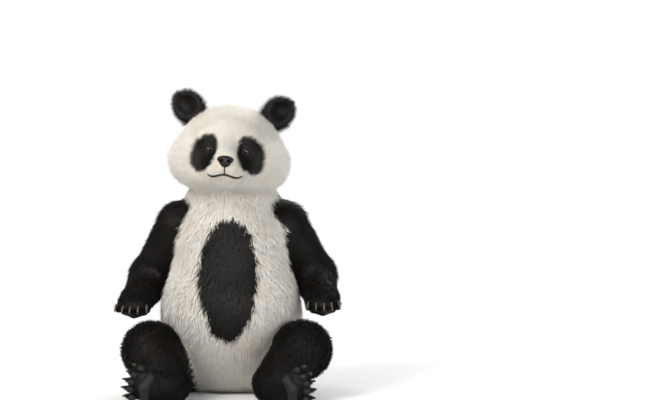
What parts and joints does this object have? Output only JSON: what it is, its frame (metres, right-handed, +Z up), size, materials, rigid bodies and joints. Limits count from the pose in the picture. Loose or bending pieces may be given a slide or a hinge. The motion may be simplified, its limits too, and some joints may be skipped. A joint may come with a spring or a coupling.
{
  "type": "giant panda",
  "caption": "Life-size giant panda sitting upright, arms at its sides and legs out in front: white, with black ears, eye patches, limbs, shoulder band and an upright oval down the belly.",
  "frame": {"origin": "on the floor, in the flat under the rump, in the plane between the left and right halves of the trunk", "axes": "+Z up, -Y the way that the animal faces, +X its left side"},
  "size_m": [0.8044, 0.826, 1.0819],
  "materials": {
    "white_coat": "dense short fur, creamy white",
    "black_coat": "dense short fur, brownish black",
    "nose_skin": "moist pebbled skin",
    "eye": "wet, dark brown"
  },
  "bodies": {
    "root": {"head": "white_coat", "muzzle": "white_coat", "lower_jaw": "white_coat", "neck": "white_coat", "torso": "white_coat", "tail": "white_coat", "ear_left": "black_coat", "ear_right": "black_coat", "eye_patch_left": "black_coat", "eye_patch_right": "black_coat", "shoulders": "black_coat", "belly_mark": "black_coat", "upper_arm_left": "black_coat", "upper_arm_right": "black_coat", "forearm_left": "black_coat", "forearm_right": "black_coat", "forepaw_left": "black_coat", "forepaw_right": "black_coat", "thigh_left": "black_coat", "thigh_right": "black_coat", "shank_left": "black_coat", "shank_right": "black_coat", "hindfoot_left": "black_coat", "hindfoot_right": "black_coat", "nose": "nose_skin", "eye_left": "eye", "eye_right": "eye"}
  },
  "joints": []
}
